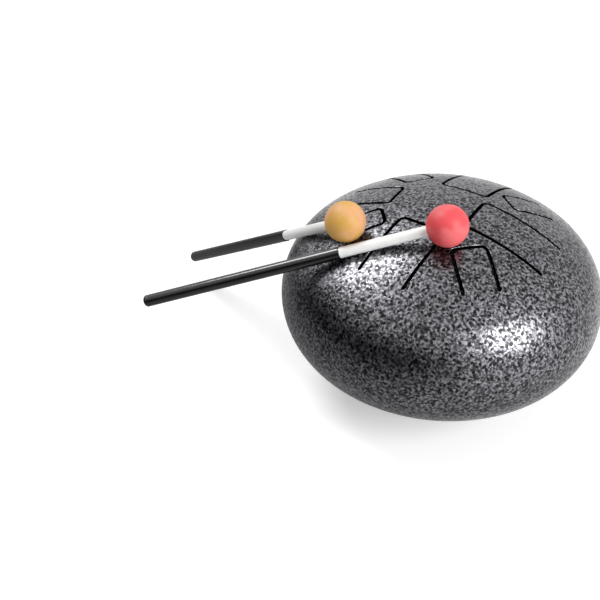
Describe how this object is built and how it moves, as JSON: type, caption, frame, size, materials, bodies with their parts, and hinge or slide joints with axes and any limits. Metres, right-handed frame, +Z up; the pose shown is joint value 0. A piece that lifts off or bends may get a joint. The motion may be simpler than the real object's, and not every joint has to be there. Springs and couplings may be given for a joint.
{
  "type": "steel tongue drum",
  "caption": "Lens-shaped steel drum with slot-cut tongues in its domed top, a sound hole and rubber feet below, and ball-headed mallets lying on it.",
  "frame": {"origin": "on the drum's axis, in the plane that its three feet stand on", "axes": "+Z up along the drum's axis, -Y towards the player's side that the picture looks from, +X to that player's right"},
  "size_m": [0.2195, 0.155, 0.1155],
  "materials": {
    "drum_paint": "glossy grey hammertone paint with dark speckle",
    "black_rubber": "matt moulded rubber",
    "zinc_steel": "bright zinc plating",
    "red_rubber": "smooth satin rubber",
    "yellow_rubber": "smooth satin rubber",
    "white_plastic": "smooth white plastic",
    "black_sleeve": "glossy black sleeve"
  },
  "bodies": {
    "drum": {"upper_shell": "drum_paint", "lower_shell": "drum_paint", "seam_weld": "drum_paint", "rubber_foot_1": "black_rubber", "rubber_foot_2": "black_rubber", "rubber_foot_3": "black_rubber", "foot_washers": "zinc_steel", "shell_washers": "zinc_steel", "foot_screws": "zinc_steel", "foot_nuts": "zinc_steel"},
    "red_mallet": {"red_mallet_head": "red_rubber", "red_mallet_shaft": "white_plastic", "red_mallet_grip": "black_sleeve"},
    "yellow_mallet": {"yellow_mallet_head": "yellow_rubber", "yellow_mallet_shaft": "white_plastic", "yellow_mallet_grip": "black_sleeve"}
  },
  "joints": [
    {"name": "red_mallet_lift", "type": "slide", "parent": "drum", "child": "red_mallet", "axis": [0, -0.5736, 0.8192], "range_m": [0, 0.12]},
    {"name": "yellow_mallet_lift", "type": "slide", "parent": "drum", "child": "yellow_mallet", "axis": [0, 0, 1], "range_m": [0, 0.12]}
  ]
}
